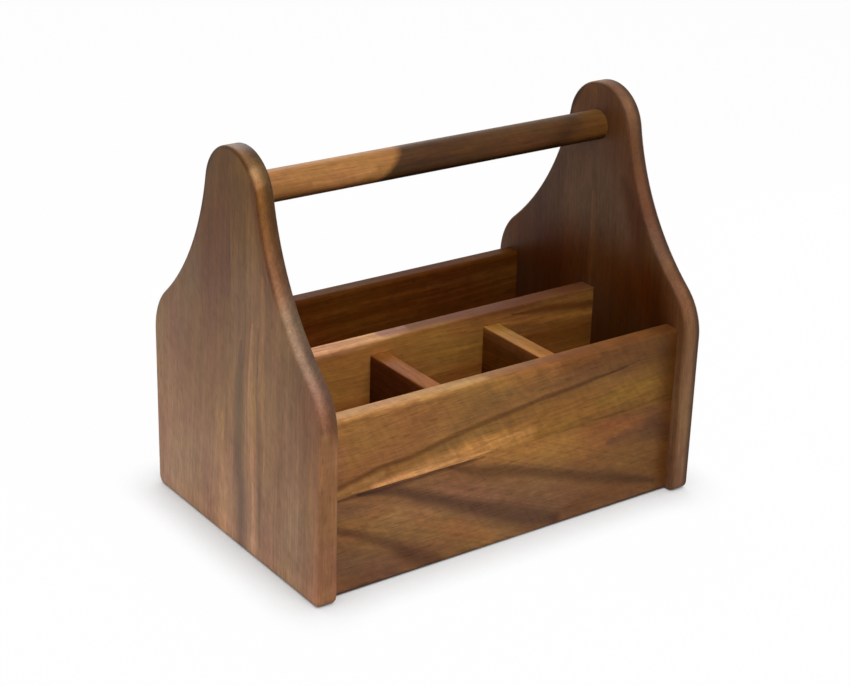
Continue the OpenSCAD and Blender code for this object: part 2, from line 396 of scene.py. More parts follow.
# Growth lines, painted shade in the creases, relief and lacquer
GROWTH_DIP = 0.4  # shift of the growth lines per mm through a board
CREASE_SHADE_TINT = (0.58, 0.5, 0.44)  # painted shade where a face turns into the rim
FEATHER = 2.0  # mm by which the fibres fray a stroke
RIPPLE_SLANT = 0.6  # mm along by which the ripples shift per mm across
FIBRE_RELIEF = 0.6
STREAK_RELIEF = 0.5
PORE_RELIEF = -0.8
BUMP_STRENGTH = 0.25
BUMP_HEIGHT = 0.12  # mm
FIBRE_ROUGHNESS = (0.34, 0.46)
PORE_ROUGHNESS = 0.12  # more in the pores
WORN_ROUGHNESS = 0.06  # more on the worn edges


class Wood(Graph):
    """Satin-lacquered wood with growth bands, dark lines, fibres, pores, worn edges, and painted highlights
    and shade on its edges.
    """

    def __init__(self, name, figure):
        self.material = bpy.data.materials.new(name)
        super().__init__(self.material)
        self.figure = figure
        self.measure()
        self.grow()
        shade = self.shade()
        base = self.scaled(self.stroked(), shade)
        self.lacquer(self.edged(base))

    def measure(self):
        """Millimetres along the fibres, across the face and through the board."""
        place = self.node("ShaderNodeTexCoord").outputs["Object"]
        place = self.minus(place, tuple(self.figure.origin * MM))
        place = self.scaled(place, 1 / MM)
        self.along, self.across, self.through = [self.dot(place, axis) for axis in self.figure.axes]
        self.seeded = self.add(self.through, self.figure.seed)

    def pattern(self, kind, over=None, run=None):
        """One of the wood's noises, with other distances across or along where they are given."""
        x, y, z, detail, roughness = kind
        run = self.product(self.along if run is None else run, x)
        over = self.product(self.across if over is None else over, y)
        return self.noise(run, over, self.product(self.seeded, z), detail, roughness)

    def grow(self):
        """The noises, and where a spot lies across the growth lines."""
        figure = self.figure
        self.fibres = self.pattern(FIBRES)
        pores = self.pattern(PORES)
        slanted = self.add(self.along, self.product(self.across, RIPPLE_SLANT))
        self.ripple = self.pattern(RIPPLE, run=slanted)
        self.mottle = self.pattern(MOTTLE)
        self.clouds = self.pattern(CLOUDS)
        stray = self.math("SUBTRACT", self.pattern(STRAY), NOISE_MEAN)
        stray = self.product(stray, 2 * figure.wander)
        self.shift = self.add(self.across, self.product(self.through, GROWTH_DIP), stray)
        climb = self.add(self.product(self.along, figure.bend), figure.lean)
        self.lines = self.math("SUBTRACT", self.shift, self.product(self.along, climb))
        self.bands = self.pattern(BANDS, over=self.lines)
        self.streaks = self.pattern(STREAKS, over=self.lines)
        self.pore = self.spread(pores, *PORE_CORE)

    def shade(self):
        """Brightness of the figure, and of the end grain."""
        figure = self.figure
        band_shades = [1 + change * figure.contrast for change in BAND_CHANGE]
        streak_shades = [1 + change * figure.contrast for change in STREAK_CHANGE]
        shade = self.product(
            self.spread(self.bands, *OUTER, *band_shades),
            self.spread(self.streaks, *INNER, *streak_shades),
            self.spread(self.fibres, *OUTER, *FIBRE_SHADES),
            self.spread(self.ripple, *INNER, 1 - figure.ripple, 1 + figure.ripple),
            self.spread(self.mottle, *INNER, *MOTTLE_SHADES),
            self.spread(self.clouds, *INNER, *CLOUD_SHADES),
            self.spread(self.pore, 0.0, 1.0, *PORE_SHADES),
        )
        if figure.drift:
            drifted = self.add(self.along, self.product(self.across, figure.slant))
            shade = self.product(shade, self.levels(drifted, figure.drift))
        self.normal = self.node("ShaderNodeNewGeometry").outputs["Normal"]
        facing = self.math("ABSOLUTE", self.dot(self.normal, figure.axes[0]))
        return self.product(shade, self.spread(facing, *END_GRAIN_TURN, 1.0, END_GRAIN_SHADE))

    def drawn(self, base, spot, strokes, *shares):
        """A colour with strokes drawn over it, as far as the shares let them show."""
        for path, factors in strokes:
            base = self.tinted(self.product(self.stroke(spot, path), *shares), base, factors)
        return base

    def stroked(self):
        """Colour of the wood with the strokes of its faces."""
        figure = self.figure
        tone = self.ramp(self.lines, figure.tones)
        inputs = {"Color": tone, "Hue": self.spread(self.clouds, *INNER, *CLOUD_HUES)}
        base = self.node("ShaderNodeHueSaturation", inputs).outputs[0]
        fray = self.product(self.add(self.fibres, self.streaks, -2 * NOISE_MEAN), FEATHER)
        self.spot = self.vector(self.along, self.add(self.shift, fray), 0.0)
        patches = self.add(self.mottle, self.streaks)
        strength = self.spread(patches, *STROKE_PATCHES, *STROKE_STRENGTHS)
        far = self.spread(self.dot(self.normal, figure.far_side), *FAR_TURN)
        self.near = self.math("SUBTRACT", 1.0, far)
        base = self.drawn(base, self.spot, figure.strokes, strength, self.near)
        base = self.drawn(base, self.spot, figure.far_strokes, strength, far)
        return self.tinted(far, base, figure.far_tint)

    def edged(self, base):
        """A colour with its worn edges, painted shade in its creases, on its downward sides and along its
        outline, and painted highlights and shade on its rims.
        """
        figure = self.figure
        worn = self.node("ShaderNodeAttribute", attribute_name="wear").outputs["Fac"]
        flat = self.product(self.near, self.math("SUBTRACT", 1.0, worn))
        face = self.vector(self.along, self.across, 0.0)
        # Painted shade along the outline, kept off the rounded edges
        base = self.drawn(base, face, figure.outline, flat)
        self.wear = self.product(worn, self.spread(self.fibres, *INNER, *WEAR_STRENGTHS))
        crease = self.node("ShaderNodeAttribute", attribute_name="crease").outputs["Fac"]
        rise = self.dot(self.normal, UP)
        upward = self.spread(rise, *UP_TURN)
        downward = self.spread(rise, *DOWN_TURN, 1.0, 0.0)
        # Worn edges that face up: lighter wear plus a painted highlight
        base = self.tinted(self.product(self.wear, upward), base, figure.edge_up_wear_and_highlight)
        # Painted shade on the worn edges that face down
        base = self.tinted(self.product(self.wear, downward), base, EDGE_DOWN_SHADE)
        # Painted shade along the creases where the faces turn into the rims
        crease_shade = self.spread(self.streaks, *CREASE_SHADE_STREAKS, *CREASE_SHADE_STRENGTHS)
        crease_shade = self.product(crease, crease_shade, self.levels(self.along, figure.crease))
        base = self.tinted(crease_shade, base, CREASE_SHADE_TINT)
        # Painted shade on the sides that face down
        base = self.tinted(self.spread(rise, *UNDER_TURN, 1.0, 0.0), base, figure.under_shade)
        # Painted highlights and shade on the rims
        base = self.drawn(base, self.spot, figure.rim_strokes, worn)
        # Painted light and shade across the rim, bright toward one face and dark toward the other
        if figure.rim:
            share = self.product(worn, self.spread(self.along, *figure.rim_from))
            change = self.product(self.add(self.levels(self.through, figure.rim), -1.0), share)
            base = self.scaled(base, self.add(change, 1.0))
        return base

    def lacquer(self, base):
        """A satin coat over a colour, with the relief of the fibres and pores."""
        height = self.add(
            self.product(self.fibres, FIBRE_RELIEF),
            self.product(self.streaks, STREAK_RELIEF),
            self.product(self.pore, PORE_RELIEF),
        )
        inputs = {"Strength": BUMP_STRENGTH, "Distance": BUMP_HEIGHT * MM, "Height": height}
        bump = self.node("ShaderNodeBump", inputs).outputs[0]
        roughness = self.add(
            self.spread(self.fibres, *INNER, *FIBRE_ROUGHNESS),
            self.product(self.pore, PORE_ROUGHNESS),
            self.product(self.wear, WORN_ROUGHNESS),
        )
        inputs = {"Base Color": base, "Roughness": roughness, "Normal": bump}
        inputs["Specular IOR Level"] = self.figure.gloss
        shader = self.node("ShaderNodeBsdfPrincipled", inputs)
        self.node("ShaderNodeOutputMaterial", {"Surface": shader.outputs[0]})


# Boards

END_FRONT_LEFT = "left_end_front_stave"
END_BACK_LEFT = "left_end_back_stave"
END_FRONT_RIGHT = "right_end_front_stave"
END_BACK_RIGHT = "right_end_back_stave"
left_lo, left_hi = box_mm(END_FRONT_LEFT, END_BACK_LEFT)
right_lo, right_hi = box_mm(END_FRONT_RIGHT, END_BACK_RIGHT)
LEFT_CORNER = Vector((left_lo.x, left_hi.y, 0))
RIGHT_CORNER = Vector((right_lo.x, right_hi.y, 0))
FRONT_CORNER = box_mm("front_lower_stave", "front_upper_stave")[0]

# Strokes of each board: points (along the fibres, across the face, width), and colour factors
LEFT_BACK_STROKES = (
    (((0, 20, 60), (40, 60, 60), (20, 95, 60)), (1.0, 1.05, 1.25)),
    (((215, 60, 70), (245, 90, 70)), (0.98, 0.84, 0.45)),
    (((0, 80, 14), (45, 81, 14), (80, 82, 4)), (1.3, 1.3, 1.14)),
    (((150, 75, 30), (200, 86, 34)), (0.95, 0.85, 0.92)),
    (((80, 30, 14), (120, 22, 16)), (1.0, 0.94, 1.02)),
    # painted contact shadow along the bottom edge
    (((0, -6, 2.4), (0, 100, 2.4)), (0.42, 0.42, 0.48)),
    # painted light in a band just above the foot
    (((8, 20, 8), (9, 95, 9)), (1.14, 1.14, 1.16)),
)
LEFT_FRONT_STROKES = (
    (((10, 110, 60), (20, 160, 60)), (1.0, 1.05, 1.2)),
    (((215, 100, 60), (245, 110, 60)), (0.98, 0.84, 0.45)),
    (((0, 103, 10), (60, 102, 11), (110, 104, 8), (135, 105, 2)), (0.58, 0.61, 0.7)),
    (((5, 117, 5), (100, 117, 6), (150, 118, 2)), (1.5, 1.42, 1.46)),
    (((70, 121, 1), (95, 121.5, 4), (118, 122, 1)), (1.15, 1.2, 0.75)),
    (((60, 130, 1), (110, 130, 6), (180, 131, 4)), (1.36, 1.34, 1.2)),
    (((10, 124.5, 2), (70, 124, 3.4), (150, 125, 1)), (0.72, 0.72, 0.78)),
    (((120, 108, 3), (190, 110, 4), (215, 111, 1)), (0.76, 0.76, 0.82)),
    # painted contact shadow along the bottom edge
    (((0, 88, 2.4), (0, 196, 2.4)), (0.42, 0.42, 0.48)),
    # painted light in a band just above the foot
    (((8, 95, 8), (8, 185, 9)), (1.16, 1.16, 1.18)),
    (((140, 102, 9), (225, 104, 13)), (0.84, 0.84, 0.92)),
    (((30, 162, 12), (80, 162, 22), (120, 160, 12)), (1.16, 1.18, 1.28)),
    (((30, 146, 2), (90, 147, 6), (140, 148, 2)), (0.9, 0.88, 0.88)),
    (((180, 134, 3), (200, 127, 5), (215, 123, 5), (232, 117, 3)), (0.8, 0.66, 0.5)),
)
# Painted highlights along the left end's rim and a painted glint near the dome, with darker stretches above
LEFT_RIM_STROKES = (
    (((0, 190, 14), (70, 190, 14), (104, 190, 12)), (1.12, 1.14, 1.1)),
    (((78, 190, 4), (94, 190, 12), (106, 190, 6)), (1.24, 1.3, 1.24)),
    (((110, 190, 6), (124, 187, 12), (140, 172, 14), (160, 154, 14), (172, 146, 8)), (1.12, 1.18, 1.28)),
    (((168, 146, 6), (182, 138, 12), (205, 128, 14), (222, 124, 12), (232, 120, 6)), (0.96, 0.78, 0.6)),
    # painted glint near the dome
    (((232, 121, 4), (238, 116, 5)), (1.7, 1.85, 2.3)),
    (((240, 114, 1), (246, 104, 8), (248, 95, 9)), (0.88, 0.82, 0.88)),
)
FRONT_UPPER_STROKES = (
    (((165, 106, 8), (254, 102, 28)), (0.68, 0.62, 0.5)),
    (((0, 67.5, 4), (12, 70.5, 3.4), (30, 74, 3), (54, 75, 2.8), (80, 79.5, 3.2), (120, 84.5, 3.2),
      (150, 88.8, 2.8), (180, 91, 2.6), (225, 96, 0.5)), (0.5, 0.42, 0.42)),
    (((30, 63, 6), (60, 65.5, 9), (105, 66.5, 12), (140, 68, 9)), (1.72, 1.76, 2.5)),
    (((95, 72, 12), (150, 72, 26), (235, 72, 24)), (1.4, 1.38, 1.18)),
    (((195, 75, 6), (222, 78, 12), (240, 80, 4)), (1.0, 1.1, 0.84)),
    (((14, 63.4, 1), (40, 63.3, 3.4), (90, 63.3, 3.4), (112, 63.5, 0.5)), (1.6, 1.7, 1.95)),
    (((86, 86, 4), (105, 93, 14), (125, 98, 6)), (0.84, 0.88, 0.9)),
    (((0, 78, 12), (4, 90, 10)), (1.06, 0.98, 1.5)),
    (((0, 65, 6), (18, 67, 6), (34, 69, 4)), (1.3, 1.38, 1.7)),
    (((115, 106, 6), (150, 106, 9), (190, 106, 5)), (1.3, 1.26, 1.1)),
    (((70, 76, 4), (105, 77, 7), (140, 79, 4)), (0.86, 0.9, 1.15)),
    (((190, 64, 0.5), (215, 64.5, 2.6), (250, 66, 1.5)), (0.68, 0.62, 0.6)),
    # painted shade in the corner against the right end
    (((252, 60, 16), (252, 110, 24)), (0.6, 0.5, 0.4)),
    (((86, 66, 1.5), (83, 71, 3.4), (80, 75, 1.5)), (1.17, 1.17, 1.17)),
    (((99, 65, 1.5), (96, 70, 3.4), (92, 75, 1.5)), (1.15, 1.15, 1.15)),
    (((112, 66, 1.5), (108, 72, 3.4), (104, 77, 1.5)), (1.17, 1.17, 1.16)),
    (((127, 68, 1.5), (123, 73, 3.4), (119, 78, 1.5)), (1.15, 1.15, 1.14)),
    # painted highlight along the top edge, strongest at the left
    (((0, 112, 6), (60, 112, 6), (110, 112, 2)), (1.4, 1.6, 1.9)),
    (((-4, 104, 9), (50, 104, 9), (70, 105, 4)), (1.16, 1.16, 1.16)),
    (((148, 95, 3), (180, 95, 7), (214, 95, 3)), (0.85, 0.85, 0.86)),
    # painted shade along the top edge toward the right
    (((110, 112, 3), (150, 112, 5), (254, 112, 6)), (0.86, 0.76, 0.8)),
)
FRONT_LOWER_STROKES = (
    (((0, 61, 1), (30, 60.9, 3.5), (60, 60.9, 2.5), (85, 60.9, 3), (108, 60.5, 0.5)), (0.45, 0.4, 0.46)),
    (((18, 61, 2), (45, 57, 6), (62, 47.5, 7.5), (82, 38.5, 8), (100, 30, 9), (122, 19.5, 12), (145, 11, 12),
      (164, 4, 7)), (0.44, 0.42, 0.53)),
    (((82, 60.5, 2), (104, 52.5, 7), (122, 47.5, 7), (142, 41.5, 6), (162, 34.6, 6), (184, 26.4, 7.4),
      (205, 20.5, 8), (244, 8, 3)), (0.55, 0.53, 0.53)),
    (((0, 43, 4.5), (16, 36.5, 4.5), (28, 30, 5), (42, 22, 7), (56, 10, 12), (74, 1, 9)), (0.5, 0.45, 0.55)),
    (((18, 50, 4), (38, 45, 8), (60, 37.5, 7), (76, 31, 3)), (1.28, 1.25, 1.2)),
    (((60, 31, 4), (84, 21, 11), (112, 7, 10)), (1.16, 1.02, 0.92)),
    (((72, 51, 5), (92, 44, 9), (120, 34, 6)), (1.08, 1.04, 1.18)),
    (((104, 60, 6), (140, 57, 15), (185, 54, 22), (225, 52, 14)), (1.44, 1.44, 1.3)),
    (((196, 58, 5), (216, 54, 11), (234, 52, 5)), (1.02, 0.86, 0.95)),
    (((204, 45, 4), (226, 47, 10), (242, 46, 14), (254, 40, 12)), (0.66, 0.62, 0.95)),
    (((165, 6, 8), (254, 18, 22)), (0.86, 0.78, 0.7)),
    (((0, 54, 12), (24, 50, 6)), (0.8, 0.84, 1.1)),
    (((0, 26, 14), (28, 12, 18), (44, 3, 10)), (0.82, 0.87, 1.12)),
    # painted shade in the corner against the right end
    (((252, 0, 12), (252, 60, 14)), (0.72, 0.62, 0.5)),
    (((50, 34, 44), (150, 18, 44)), (1.04, 1.16, 1.3)),
    # painted contact shadow along the bottom edge
    (((-4, 0, 2.6), (260, 0, 2.6)), (0.36, 0.37, 0.5)),
)
LONG_STROKES = (
    (((178, 89, 1), (205, 86, 4), (230, 83, 5), (254, 80, 4)), (1.55, 1.5, 1.4)),
    (((188, 94, 1), (215, 91.5, 5), (254, 86.5, 5)), (0.55, 0.42, 0.4)),
    (((195, 74, 4), (225, 71, 14), (254, 68, 14)), (0.85, 0.7, 0.6)),
    (((38, 62, 8), (66, 61, 9), (88, 61, 4)), (0.85, 0.74, 0.7)),
    (((104, 62, 2), (130, 61, 7), (170, 62, 4)), (0.7, 0.62, 0.58)),
    (((110, 78, 2), (140, 77, 4), (165, 78, 1)), (1.12, 1.12, 1.0)),
    (((170, 40, 60), (254, 40, 70)), (0.9, 0.74, 0.5)),
    # painted sheen along the top, strongest at the left
    (((0, 101, 9), (75, 101, 9), (110, 101, 4)), (1.9, 2.3, 4.2)),
    # painted shade along the top toward the right
    (((92, 101, 4), (120, 101, 9), (254, 101, 9)), (0.52, 0.42, 0.7)),
)
BACK_OUTER_STROKES = (
    (((0, 26, 4), (60, 34, 7), (130, 37, 8), (200, 32, 7), (254, 24, 4)), (0.56, 0.5, 0.5)),
    (((0, 52, 3), (70, 57, 6), (150, 58, 6), (254, 49, 3)), (0.7, 0.64, 0.62)),
    (((30, 44, 3), (110, 49, 6), (190, 46, 4)), (1.25, 1.25, 1.2)),
    (((0, 12, 4), (90, 20, 8), (170, 19, 8), (254, 8, 4)), (0.66, 0.6, 0.6)),
    (((0, 82, 6), (120, 88, 10), (254, 80, 6)), (1.16, 1.14, 1.05)),
    (((20, 97, 2), (130, 101, 4), (240, 96, 2)), (0.74, 0.68, 0.66)),
    # painted contact shadow along the bottom edge
    (((-4, 0, 2.8), (260, 0, 2.8)), (0.32, 0.3, 0.32)),
)
RIGHT_OUTER_STROKES = (
    (((0, 34, 8), (90, 30, 12), (150, 36, 4)), (0.76, 0.74, 0.78)),
    (((0, 58, 4), (110, 55, 6), (190, 60, 3)), (1.22, 1.2, 1.14)),
    (((0, 72, 4), (80, 70, 6), (230, 78, 3)), (0.78, 0.75, 0.76)),
    (((10, 118, 4), (120, 121, 6), (200, 116, 3)), (1.22, 1.18, 1.1)),
    (((0, 134, 5), (100, 138, 8), (150, 136, 3)), (0.74, 0.72, 0.75)),
    (((20, 164, 4), (90, 161, 7), (120, 163, 3)), (1.18, 1.15, 1.08)),
    # painted contact shadow along the bottom edge
    (((0, -6, 3), (0, 196, 3)), (0.4, 0.4, 0.45)),
)
BACK_STROKES = (
    (((60, 64, 8), (120, 66, 8), (254, 68, 14)), (0.55, 0.4, 0.4)),
    (((70, 82, 3), (110, 80, 6), (170, 82, 4)), (1.35, 1.4, 1.6)),
    (((80, 98, 3), (130, 97, 8), (180, 98, 4)), (1.2, 1.25, 1.4)),
    (((75, 91, 2), (120, 89, 5), (170, 90, 3)), (0.75, 0.66, 0.5)),
    (((180, 100, 4), (230, 98, 8), (254, 96, 6)), (1.25, 1.4, 2.0)),
)
HANDLE_STROKES = (
    (((100, 8, 4), (112, 8, 12), (124, 10, 4)), (0.85, 0.85, 0.95)),
    (((170, 8, 4), (190, 9, 12), (212, 9, 4)), (1.2, 1.05, 0.95)),
    (((140, 12, 2), (152, 11, 6), (160, 10, 2)), (1.25, 1.15, 0.9)),
    (((44, 10, 3), (68, 9, 9), (86, 12, 4)), (1.24, 1.27, 1.4)),
    (((135, 9, 24), (205, 9, 24)), (0.92, 0.84, 0.8)),
    (((225, 9, 20), (262, 9, 20)), (1.04, 0.86, 0.64)),
)
RIGHT_BACK_STROKES = (
    # painted shade and reddish bounce light low on the inner face, inside the tray
    (((20, 20, 80), (100, 60, 80)), (0.62, 0.34, 0.05)),
    (((235, 70, 30), (245, 95, 30)), (0.9, 0.66, 0.36)),
    (((125, 20, 36), (130, 100, 36)), (1.0, 0.7, 0.3)),
)
RIGHT_FRONT_STROKES = (
    # painted shade and reddish bounce light low on the inner face, inside the tray
    (((40, 100, 70), (115, 150, 66)), (0.56, 0.32, 0.03)),
    (((240, 100, 34), (180, 146, 34)), (0.68, 0.5, 0.34)),
    (((130, 90, 36), (125, 150, 36)), (1.0, 0.7, 0.3)),
    (((110, 96, 2), (140, 96, 6), (175, 95, 3)), (1.5, 1.45, 1.2)),
    (((0, 192, 10), (120, 192, 9)), (1.02, 1.12, 1.3)),
    (((190, 124, 8), (160, 140, 18), (130, 160, 22), (100, 168, 22)), (0.72, 0.62, 0.44)),
)
# Painted shade: dark lines along the back of each end's dome
LEFT_OUTLINE_SHADE = (
    (((165, 41, 1), (180, 50.5, 4), (195, 57.7, 5), (210, 63, 5.4), (226, 67, 5.4), (238, 73.5, 5),
      (244, 81, 1)), (0.36, 0.32, 0.32)),
)
RIGHT_OUTLINE_SHADE = (
    (((195, 57.7, 1), (210, 63, 5), (226, 67, 6), (238, 73.5, 6), (244, 81, 2)), (0.26, 0.22, 0.22)),
)

# Edges of the two ends: painted light and shade through the board, and depth of the painted shade in the
# crease along it
LEFT_RIM_SHADING = ((0, 0.85), (1.5, 1.12), (3.2, 1.4), (5, 1.2), (7, 0.72), (9, 0.5), (12.5, 0.42))
RIGHT_RIM_SHADING = ((0, 0.85), (2, 1.08), (5, 1.2), (7, 1.1), (8.6, 0.72), (10, 0.44), (12.5, 0.32))
END_CREASE = ((0, 0.25), (150, 0.25), (185, 1.0), (248, 1.0))
# painted highlight on the ends' upward-facing rims, over their wear
END_EDGE_WEAR_AND_HIGHLIGHT = (1.7, 1.9, 2.4)
LEFT_END = {"edge_up_wear_and_highlight": END_EDGE_WEAR_AND_HIGHLIGHT, "crease": END_CREASE, "rim": LEFT_RIM_SHADING, "rim_from": (100, 125)}
# The right end's tones carry painted shade of the tray's inside; its far tint lifts the outer face back
RIGHT_END = {
    "edge_up_wear_and_highlight": END_EDGE_WEAR_AND_HIGHLIGHT, "crease": END_CREASE, "rim": RIGHT_RIM_SHADING, "lean": -0.03, "contrast": 0.7,
    "far_side": (1, 0, 0), "far_strokes": RIGHT_OUTER_STROKES, "far_tint": (1.3, 1.2, 1.1),
}

FIGURES = {
    END_BACK_LEFT: Figure(
        ALONG_Z, LEFT_CORNER, lean=0.09, seed=11, contrast=0.45,
        drift=((0, 1.72), (22, 1.56), (45, 1.45), (100, 1.12), (165, 0.78), (225, 0.64), (248, 0.6)),
        tones=((-25, "7a593d"), (15, "7f5d42"), (45, "78573b"), (97, "7d5b3f")),
        strokes=LEFT_BACK_STROKES, outline=LEFT_OUTLINE_SHADE, **LEFT_END,
    ),
    END_FRONT_LEFT: Figure(
        ALONG_Z, LEFT_CORNER, lean=0.05, seed=23, contrast=0.65,
        drift=((0, 1.5), (22, 1.3), (45, 1.2), (100, 1.04), (165, 0.88), (225, 0.64), (248, 0.6)),
        tones=((74, "7f5d41"), (110, "836144"), (146, "7f5d40"), (166, "75553b"), (192, "865b3b")),
        strokes=LEFT_FRONT_STROKES, rim_strokes=LEFT_RIM_STROKES, **LEFT_END,
    ),
    END_BACK_RIGHT: Figure(
        ALONG_Z, RIGHT_CORNER, seed=37,
        tones=((-10, "75543e"), (40, "6f4f3a"), (80, "77553d"), (100, "71513b")),
        strokes=RIGHT_BACK_STROKES, outline=RIGHT_OUTLINE_SHADE, **RIGHT_END,
    ),
    END_FRONT_RIGHT: Figure(
        ALONG_Z, RIGHT_CORNER, seed=41,
        tones=((85, "75543e"), (104, "6d4e37"), (140, "73513b"), (165, "6c4d37"), (192, "7a5434")),
        strokes=RIGHT_FRONT_STROKES, **RIGHT_END,
    ),
    "front_upper_stave": Figure(
        ALONG_X, FRONT_CORNER, lean=0.17, bend=-0.0002, seed=3, contrast=0.5, wander=2, ripple=0.1,
        drift=((0, 1.12), (70, 1.02), (140, 0.82), (254, 0.7)), strokes=FRONT_UPPER_STROKES,
        tones=((28, "855b23"), (66, "8c602e"), (72, "906134"), (95, "8b5e31"), (110, "865a2d")),
    ),
    "front_lower_stave": Figure(
        ALONG_X, FRONT_CORNER, lean=-0.40, seed=5, contrast=0.5, wander=2.5, ripple=0.08,
        drift=((0, 1.05), (130, 1.05), (254, 0.85)), strokes=FRONT_LOWER_STROKES,
        tones=((0, "7c5536"), (45, "855932"), (80, "805735"), (110, "865a2e"), (138, "80552a"),
               (165, "724a28")),
    ),
    # The back panel's dark tones are painted shade of the tray's inside; its far tint lifts the outer face
    # back
    "back_panel": Figure(
        ALONG_X, box_mm("back_panel")[0], lean=0.03, seed=51, contrast=1.1, edge_up_wear_and_highlight=(1.0, 1.05, 1.2),
        drift=((0, 1.1), (150, 1.0), (254, 0.8)), gloss=0.03, strokes=BACK_STROKES,
        far_side=(0, 1, 0), far_strokes=BACK_OUTER_STROKES, far_tint=(2.0, 2.5, 4.2),
        tones=((0, "5a2f0c"), (40, "60340d"), (70, "542a09"), (85, "63360e"), (100, "562c0a")),
    ),
    "long_divider": Figure(
        ALONG_X, box_mm("long_divider")[0], lean=-0.02, seed=61, contrast=0.8,
        drift=((0, 1.3), (70, 1.36), (105, 1.3), (135, 1.18), (165, 1.0), (185, 0.9), (254, 0.66)),
        tones=((0, "8a5d2c"), (50, "8f602d"), (75, "895c2b"), (100, "91612f")), strokes=LONG_STROKES,
        edge_up_wear_and_highlight=(1.0, 1.0, 1.0), gloss=0.04,
    ),
    # The cross dividers' dark tones are painted shade of the bays
    "left_cross_divider": Figure(
        ALONG_Y, box_mm("left_cross_divider")[0], seed=71, lean=0.05, edge_up_wear_and_highlight=(0.98, 1.1, 0.88),
        tones=((0, "602f14"), (60, "643317"), (80, "6e3c1c"), (91, "95582a")), gloss=0.05,
    ),
    "right_cross_divider": Figure(
        ALONG_Y, box_mm("right_cross_divider")[0], seed=83, lean=-0.04, edge_up_wear_and_highlight=(1.25, 1.5, 1.2),
        tones=((0, "6e3a0c"), (60, "723e10"), (80, "7a4718"), (91, "9a6434")), gloss=0.05,
    ),
    "base_panel": Figure(
        LYING, box_mm("base_panel")[0], seed=91, lean=0.02,
        tones=((0, "6a4526"), (60, "5b391d"), (110, "704a28"), (170, "614023")),
    ),
    "handle_bar": Figure(
        ALONG_X, box_mm("handle_bar")[0], seed=101, wander=3, contrast=0.7, slant=-1.0,
        # the handle's underside gets painted shade
        strokes=HANDLE_STROKES, under_shade=(0.3, 0.22, 0.2),
        tones=((-5, "91632f"), (8, "986838"), (20, "946537")),
        drift=((-20, 1.0), (55, 1.05), (84, 1.0), (90, 0.2), (122, 0.21), (148, 0.22), (179, 0.27),
               (204, 0.25), (218, 0.16), (232, 0.32), (267, 0.36)),
    ),
}


def make_end(lo, hi, front, back):
    """The two staves of an end panel, sawn from one outline along their glue line."""
    seam = box_mm(front)[1].y

    def outline(inset):
        return end_outline(hi.y - lo.y, hi.z - lo.z, inset)

    def place(distance, y, z):
        return (lo.x + distance, y, z)

    for node, side in ((front, -1), (back, 1)):
        bm = loft(outline, round_rings(hi.x - lo.x, END_ROUND), place)
        keep_side(bm, seam, side)
        piece(node + "_wood", bm, "end_boards", Wood(node + "_wood", FIGURES[node]).material, node)


def make_board(node, slot, radii, run="x"):
    """A board with a radius on each edge of its section, running along X or Y."""
    lo, hi = box_mm(node)
    size = hi - lo
    width, length = (size.y, size.x) if run == "x" else (size.x, size.y)

    def outline(inset):
        return board_outline(width, size.z, radii, inset)

    def place(distance, a, z):
        if run == "x":
            return (lo.x + distance, lo.y + a, lo.z + z)
        return (lo.x + a, lo.y + distance, lo.z + z)

    bm = loft(outline, round_rings(length, HAIRLINE / 2), place)
    piece(node + "_wood", bm, slot, Wood(node + "_wood", FIGURES[node]).material, node)


def make_handle(node):
    """The round handle."""
    lo, hi = box_mm(node)
    radius = (hi.z - lo.z) / 2
    middle = (lo + hi) / 2

    def outline(inset):
        return [(y, z, 0.0) for y, z in arc((0, 0), radius - inset, 0, 360, 4 * ARC_STEPS)[:-1]]

    def place(distance, y, z):
        return (lo.x + distance, middle.y + y, middle.z + z)

    bm = loft(outline, round_rings(hi.x - lo.x, ARRIS), place)
    piece(node + "_wood", bm, "handle_wood", Wood(node + "_wood", FIGURES[node]).material, node)


# Radii of the two lower or the two upper edges of a board
SAWN = (HAIRLINE, HAIRLINE)
EASED = (ARRIS, ARRIS)
PANEL_EDGE = (PANEL_ROUND, PANEL_ROUND)
DIVIDER_EDGE = (DIVIDER_ROUND, DIVIDER_ROUND)

make_end(left_lo, left_hi, END_FRONT_LEFT, END_BACK_LEFT)
make_end(right_lo, right_hi, END_FRONT_RIGHT, END_BACK_RIGHT)
make_board("front_upper_stave", "side_boards", SAWN + PANEL_EDGE)
make_board("front_lower_stave", "side_boards", EASED + SAWN)
make_board("back_panel", "side_boards", EASED + PANEL_EDGE)
make_board("long_divider", "divider_boards", SAWN + DIVIDER_EDGE)
make_board("left_cross_divider", "divider_boards", SAWN + DIVIDER_EDGE, run="y")
make_board("right_cross_divider", "divider_boards", SAWN + DIVIDER_EDGE, run="y")
make_board("base_panel", "base_board", EASED + EASED)
make_handle("handle_bar")

PIN_TONES = ((-20, "c4a679"), (0, "cdb186"), (20, "bf9f70"))
for name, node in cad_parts.items():
    if name.endswith("_pins"):
        axes = ALONG_Y if "cross" in name else ALONG_X
        figure = Figure(axes, box_mm(name)[0], PIN_TONES, seed=7, contrast=0.4)
        node.data.materials.clear()
        node.data.materials.append(Wood(name + "_wood", figure).material)

# Floor, background and light

FLOOR_SIZE = 6.0  # metres
FLOOR_GREY = (0.7, 0.7, 0.7, 1.0)
FLOOR_WHITE = 0.98  # share of plain white where the floor lies open
AMBIENT = 0.04
CONTACT_REACH = 0.03  # metres over which something close by darkens the floor
CONTACT_OPEN = (0.35, 0.8)  # openness between which the floor turns white
CONTACT_SAMPLES = 2
WHITE = (1.0, 1.0, 1.0, 1.0)


def shows_background(path, math_node):
    """1 for the rays that show the white background: those of the camera, reflections and glass."""
    sharp = math_node("MAXIMUM", path.outputs["Is Glossy Ray"], path.outputs["Is Transmission Ray"])
    return math_node("MAXIMUM", path.outputs["Is Camera Ray"], sharp)


